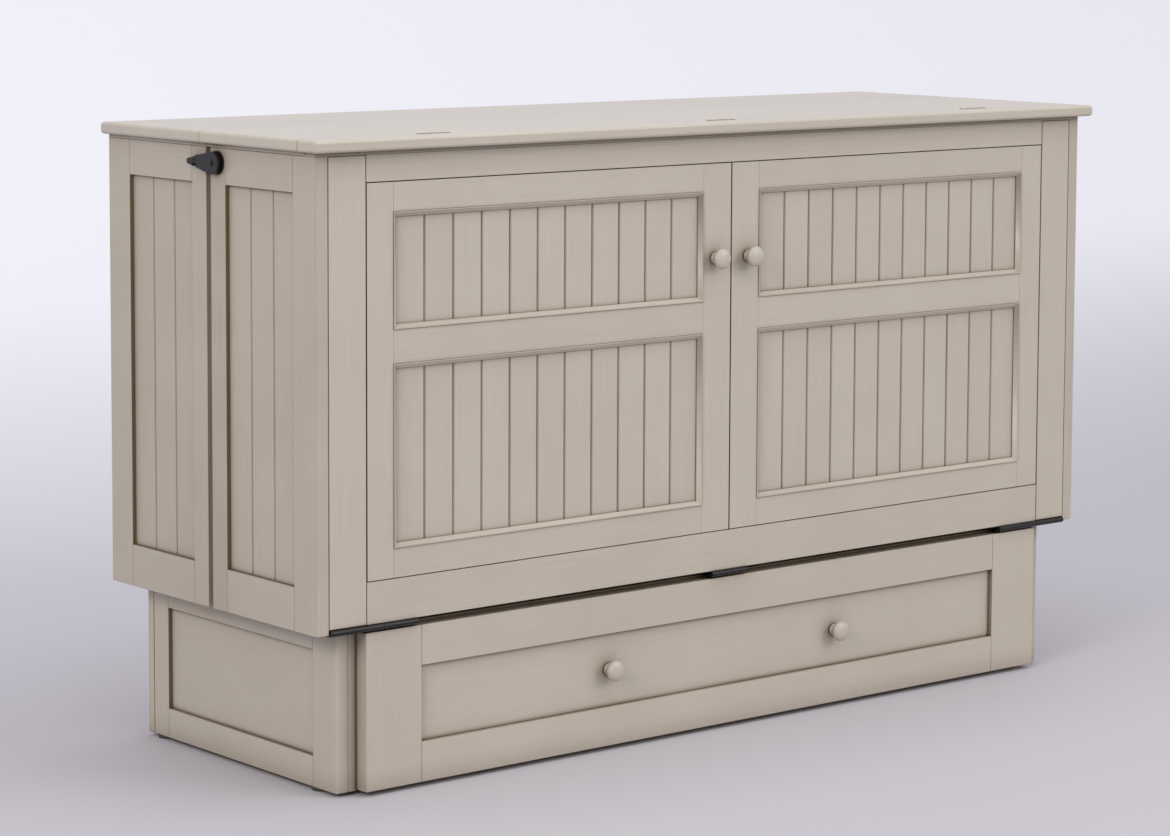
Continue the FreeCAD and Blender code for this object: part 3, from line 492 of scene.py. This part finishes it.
def screws(name, body, slot, places, out, radius_mm, crown_mm):
    """Screw heads with a hexagonal socket, their rims just sunk into the face that they hold."""
    bm = bmesh.new()
    grain = bm.faces.layers.float_vector.new("grain")
    turn = Vector(out).to_track_quat("Z", "Y").to_matrix().to_4x4()
    for place in places:
        loops = []
        for corners, share, rise in SCREW_RINGS:
            lift = Matrix.Translation((0, 0, rise * crown_mm * MM))
            spot = Matrix.Translation(Vector(place)) @ turn @ lift
            made = bmesh.ops.create_circle(bm, segments=corners, radius=share * radius_mm * MM, matrix=spot)
            loops.append(each_once(e for v in made["verts"] for e in v.link_edges))
        for lower, upper in zip(loops, loops[1:]):
            bmesh.ops.bridge_loops(bm, edges=lower + upper)
        bmesh.ops.edgeloop_fill(bm, edges=loops[0])
        bmesh.ops.edgeloop_fill(bm, edges=loops[-1])
    bmesh.ops.recalc_face_normals(bm, faces=bm.faces)
    for f in bm.faces:
        f[grain] = along(0)
    shade_flat_faces_flat(finish_piece(bm, name, body, slot))


def flap_hinge_screws(node):
    """Three screws in each of the flap hinges' three leaves that a node holds."""
    low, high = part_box(node)
    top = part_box("front_nosing")[1].z
    half = HINGE_LENGTH * MM / 2
    inset = HINGE_SCREW_INSET * MM
    row = low.y + inset if "front" in node else high.y - inset
    spots = [(middle + step * HINGE_SCREW_STEP * MM, row, top)
             for middle in (low.x + half, (low.x + high.x) / 2, high.x - half) for step in (-1, 0, 1)]
    screws(node + "_screws", BODY_OF[node], "painted_steel", spots, (0, 0, 1), **HINGE_SCREW)


def latch_pivot_screw(side, sign):
    """The screw that a latch's hook turns on."""
    low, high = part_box("latch_lever_" + side)
    spot = (high.x if sign > 0 else low.x, low.y + PIVOT_INSET * MM, high.z - PIVOT_INSET * MM)
    screws("latch_pivot_screw_" + side, "latch_" + side, "black_iron", [spot], (sign, 0, 0), **PIVOT_SCREW)


for node_name in sorted(NODES):
    slot_name = SLOT_OF[node_name]
    if node_name.endswith("_knobs"):
        turned_knobs(node_name)
    elif node_name in OPEN_JOINTED:
        dress(node_name, JOINT_EASE, JOINT_GLAZE)
    elif node_name.startswith("door_frame"):
        dress(node_name, DOOR_EASE)
    elif slot_name in EASE:
        dress(node_name, EASE[slot_name])
    else:
        NODES[node_name].data.materials.clear()
        NODES[node_name].data.materials.append(FINISH[slot_name])
for node_name in ("flap_hinge_front_leaves", "flap_hinge_back_leaves"):
    flap_hinge_screws(node_name)
for side_name, outward in (("left", -1), ("right", 1)):
    latch_pivot_screw(side_name, outward)

# ---- floor and light, in metres ----------------------------------------------------------
SWEEP_HALF_WIDTH = 14.0
SWEEP_FRONT = -12.0
SWEEP_BEND = 5.0             # where the floor starts to curve up, behind the bed
SWEEP_RADIUS = 2.5
SWEEP_HEIGHT = 9.0
SWEEP_STEPS = 16
# painted light: the sweep's colour near the bed, darker, and far behind it, paler
SWEEP_NEAR = "#b3afb6"
SWEEP_FAR = "#dcdbe2"
FAR_AWAY = 6.0               # behind the bed's middle, where the sweep is palest
RISE_AS_DISTANCE = 4.0       # a metre up pales it as much as this many metres back
BACKDROP_GLOW = 0.27
WORLD_COLOUR = "#f2f2f4"
WORLD_STRENGTH = 0.92
# the power in watts, the spread in degrees
LAMPS = {
    "key_softbox": {"place": (3.6, -6.4, 3.9), "aim": (0.0, 0.0, 0.5), "size": (4.5, 3.6),
                    "power": 96, "colour": "#fffaf3", "spread": 120.0},
    "overhead_softbox": {"place": (0.0, -0.5, 4.2), "aim": (0.0, 0.0, 0.5), "size": (4.0, 3.0),
                         "power": 62, "colour": "#f3f7ff", "spread": 180.0},
    "side_fill": {"place": (-4.6, -1.8, 2.6), "aim": (0.0, 0.0, 0.4), "size": (1.8, 1.4),
                  "power": 40, "colour": "#fff9f0", "spread": 120.0},
}


def sweep_paint():
    """Flat grey studio paint with painted light: its colour pales with the distance and it glows further
    back, as the backdrop behind the bed does.
    """
    material, tree, shader = start("painted_studio_floor", Roughness=0.7, Emission_Color=linear("#f1f1f8"))
    place = add(tree, "SeparateXYZ", None, Vector=add(tree, "TexCoord", "Object"))
    distance = add(tree, "Math", 0, MULTIPLY_ADD, i0=place.outputs[2], i1=RISE_AS_DISTANCE,
                   i2=place.outputs[1])
    far = add(tree, "MapRange", 0, {"interpolation_type": "SMOOTHSTEP"}, Value=distance, From_Min=0.0,
              From_Max=FAR_AWAY)
    # painted light: the colour pales further back
    colour = add(tree, "Mix", 2, COLOUR, i0=far, i6=linear(SWEEP_NEAR), i7=linear(SWEEP_FAR))
    # a glow that is seen directly, in reflections and through glass, and lights nothing
    path = add(tree, "LightPath")
    direct = add(tree, "Math", 0, SUM_TO_1, i0=path.outputs["Is Camera Ray"],
                 i1=path.outputs["Is Glossy Ray"])
    seen = add(tree, "Math", 0, SUM_TO_1, i0=direct, i1=path.outputs["Is Transmission Ray"])
    glow = add(tree, "Math", 0, MULTIPLY, i0=far, i1=BACKDROP_GLOW)
    pale = add(tree, "Math", 0, MULTIPLY, i0=glow, i1=seen)
    feed(tree, shader, Base_Color=colour, Emission_Strength=pale)
    return material


def backdrop():
    """A pale studio sweep, floor and wall in one sheet."""
    turns = [math.pi / 2 * i / SWEEP_STEPS for i in range(SWEEP_STEPS + 1)]
    curve = [(SWEEP_BEND + SWEEP_RADIUS * math.sin(a), SWEEP_RADIUS * (1 - math.cos(a))) for a in turns]
    outline = [(SWEEP_FRONT, 0.0)] + curve + [(SWEEP_BEND + SWEEP_RADIUS, SWEEP_HEIGHT)]
    bm = bmesh.new()
    profile = [bm.verts.new((-SWEEP_HALF_WIDTH, y, z)) for y, z in outline]
    edges = [bm.edges.new(pair) for pair in zip(profile, profile[1:])]
    swept = bmesh.ops.extrude_edge_only(bm, edges=edges)
    moved = [v for v in swept["geom"] if isinstance(v, bmesh.types.BMVert)]
    bmesh.ops.translate(bm, verts=moved, vec=(2 * SWEEP_HALF_WIDTH, 0, 0))
    bmesh.ops.recalc_face_normals(bm, faces=bm.faces)
    sweep = mesh_object(bm, "studio_sweep", sweep_paint())


def world_light():
    """Even light from all round."""
    world = bpy.data.worlds.new("studio")
    bpy.context.scene.world = world
    world.use_nodes = True
    background = world.node_tree.nodes["Background"]
    background.inputs["Color"].default_value = linear(WORLD_COLOUR)
    background.inputs["Strength"].default_value = WORLD_STRENGTH


def lamp(name, place, aim, size, power, colour, spread):
    """A softbox that shines from its place to the point it is aimed at."""
    light = bpy.data.lights.new(name, "AREA")
    light.shape = "RECTANGLE"
    light.size, light.size_y = size
    light.energy = power
    light.color = linear(colour)[:3]
    light.spread = math.radians(spread)
    holder = linked_object(name, light)
    holder.location = place
    holder.rotation_euler = (Vector(aim) - Vector(place)).to_track_quat("-Z", "Y").to_euler()


# ---- the camera that took the photograph, in the part's frame ----------------------------
CAMERA_PLACE = (-3.7275, -4.4165, 1.329)
CAMERA_HEADING = 0.6900      # radians from +Y towards +X
CAMERA_PITCH = -0.0965
CAMERA_ROLL = 0.0041
FOCAL_PIXELS = 3442.0
IMAGE_WIDTH = 1170.0
IMAGE_HEIGHT = 836.0
PRINCIPAL_ROW = 250.0        # pixel row that the optical axis meets
SENSOR_WIDTH = 36.0          # millimetres, as the lens is


def camera():
    """A camera in the place, direction and lens that were fitted to the cabinet's corners."""
    data = bpy.data.cameras.new("camera")
    holder = linked_object("camera", data)
    bpy.context.scene.camera = holder
    data.sensor_width = SENSOR_WIDTH
    data.lens = FOCAL_PIXELS * SENSOR_WIDTH / IMAGE_WIDTH
    data.shift_y = (PRINCIPAL_ROW - IMAGE_HEIGHT / 2) / IMAGE_WIDTH
    data.clip_start, data.clip_end = 0.1, 60.0
    forward = Vector((math.sin(CAMERA_HEADING) * math.cos(CAMERA_PITCH),
                      math.cos(CAMERA_HEADING) * math.cos(CAMERA_PITCH), math.sin(CAMERA_PITCH)))
    level = forward.cross(Vector((0, 0, 1))).normalized()
    upright = level.cross(forward)
    right = level * math.cos(CAMERA_ROLL) + upright * math.sin(CAMERA_ROLL)
    up = upright * math.cos(CAMERA_ROLL) - level * math.sin(CAMERA_ROLL)
    turn = Matrix((right, up, -forward)).transposed().to_4x4()
    holder.matrix_world = Matrix.Translation(CAMERA_PLACE) @ turn


backdrop()
world_light()
for lamp_name, values in LAMPS.items():
    lamp(lamp_name, **values)
camera()
bpy.context.scene.view_settings.view_transform = "Standard"
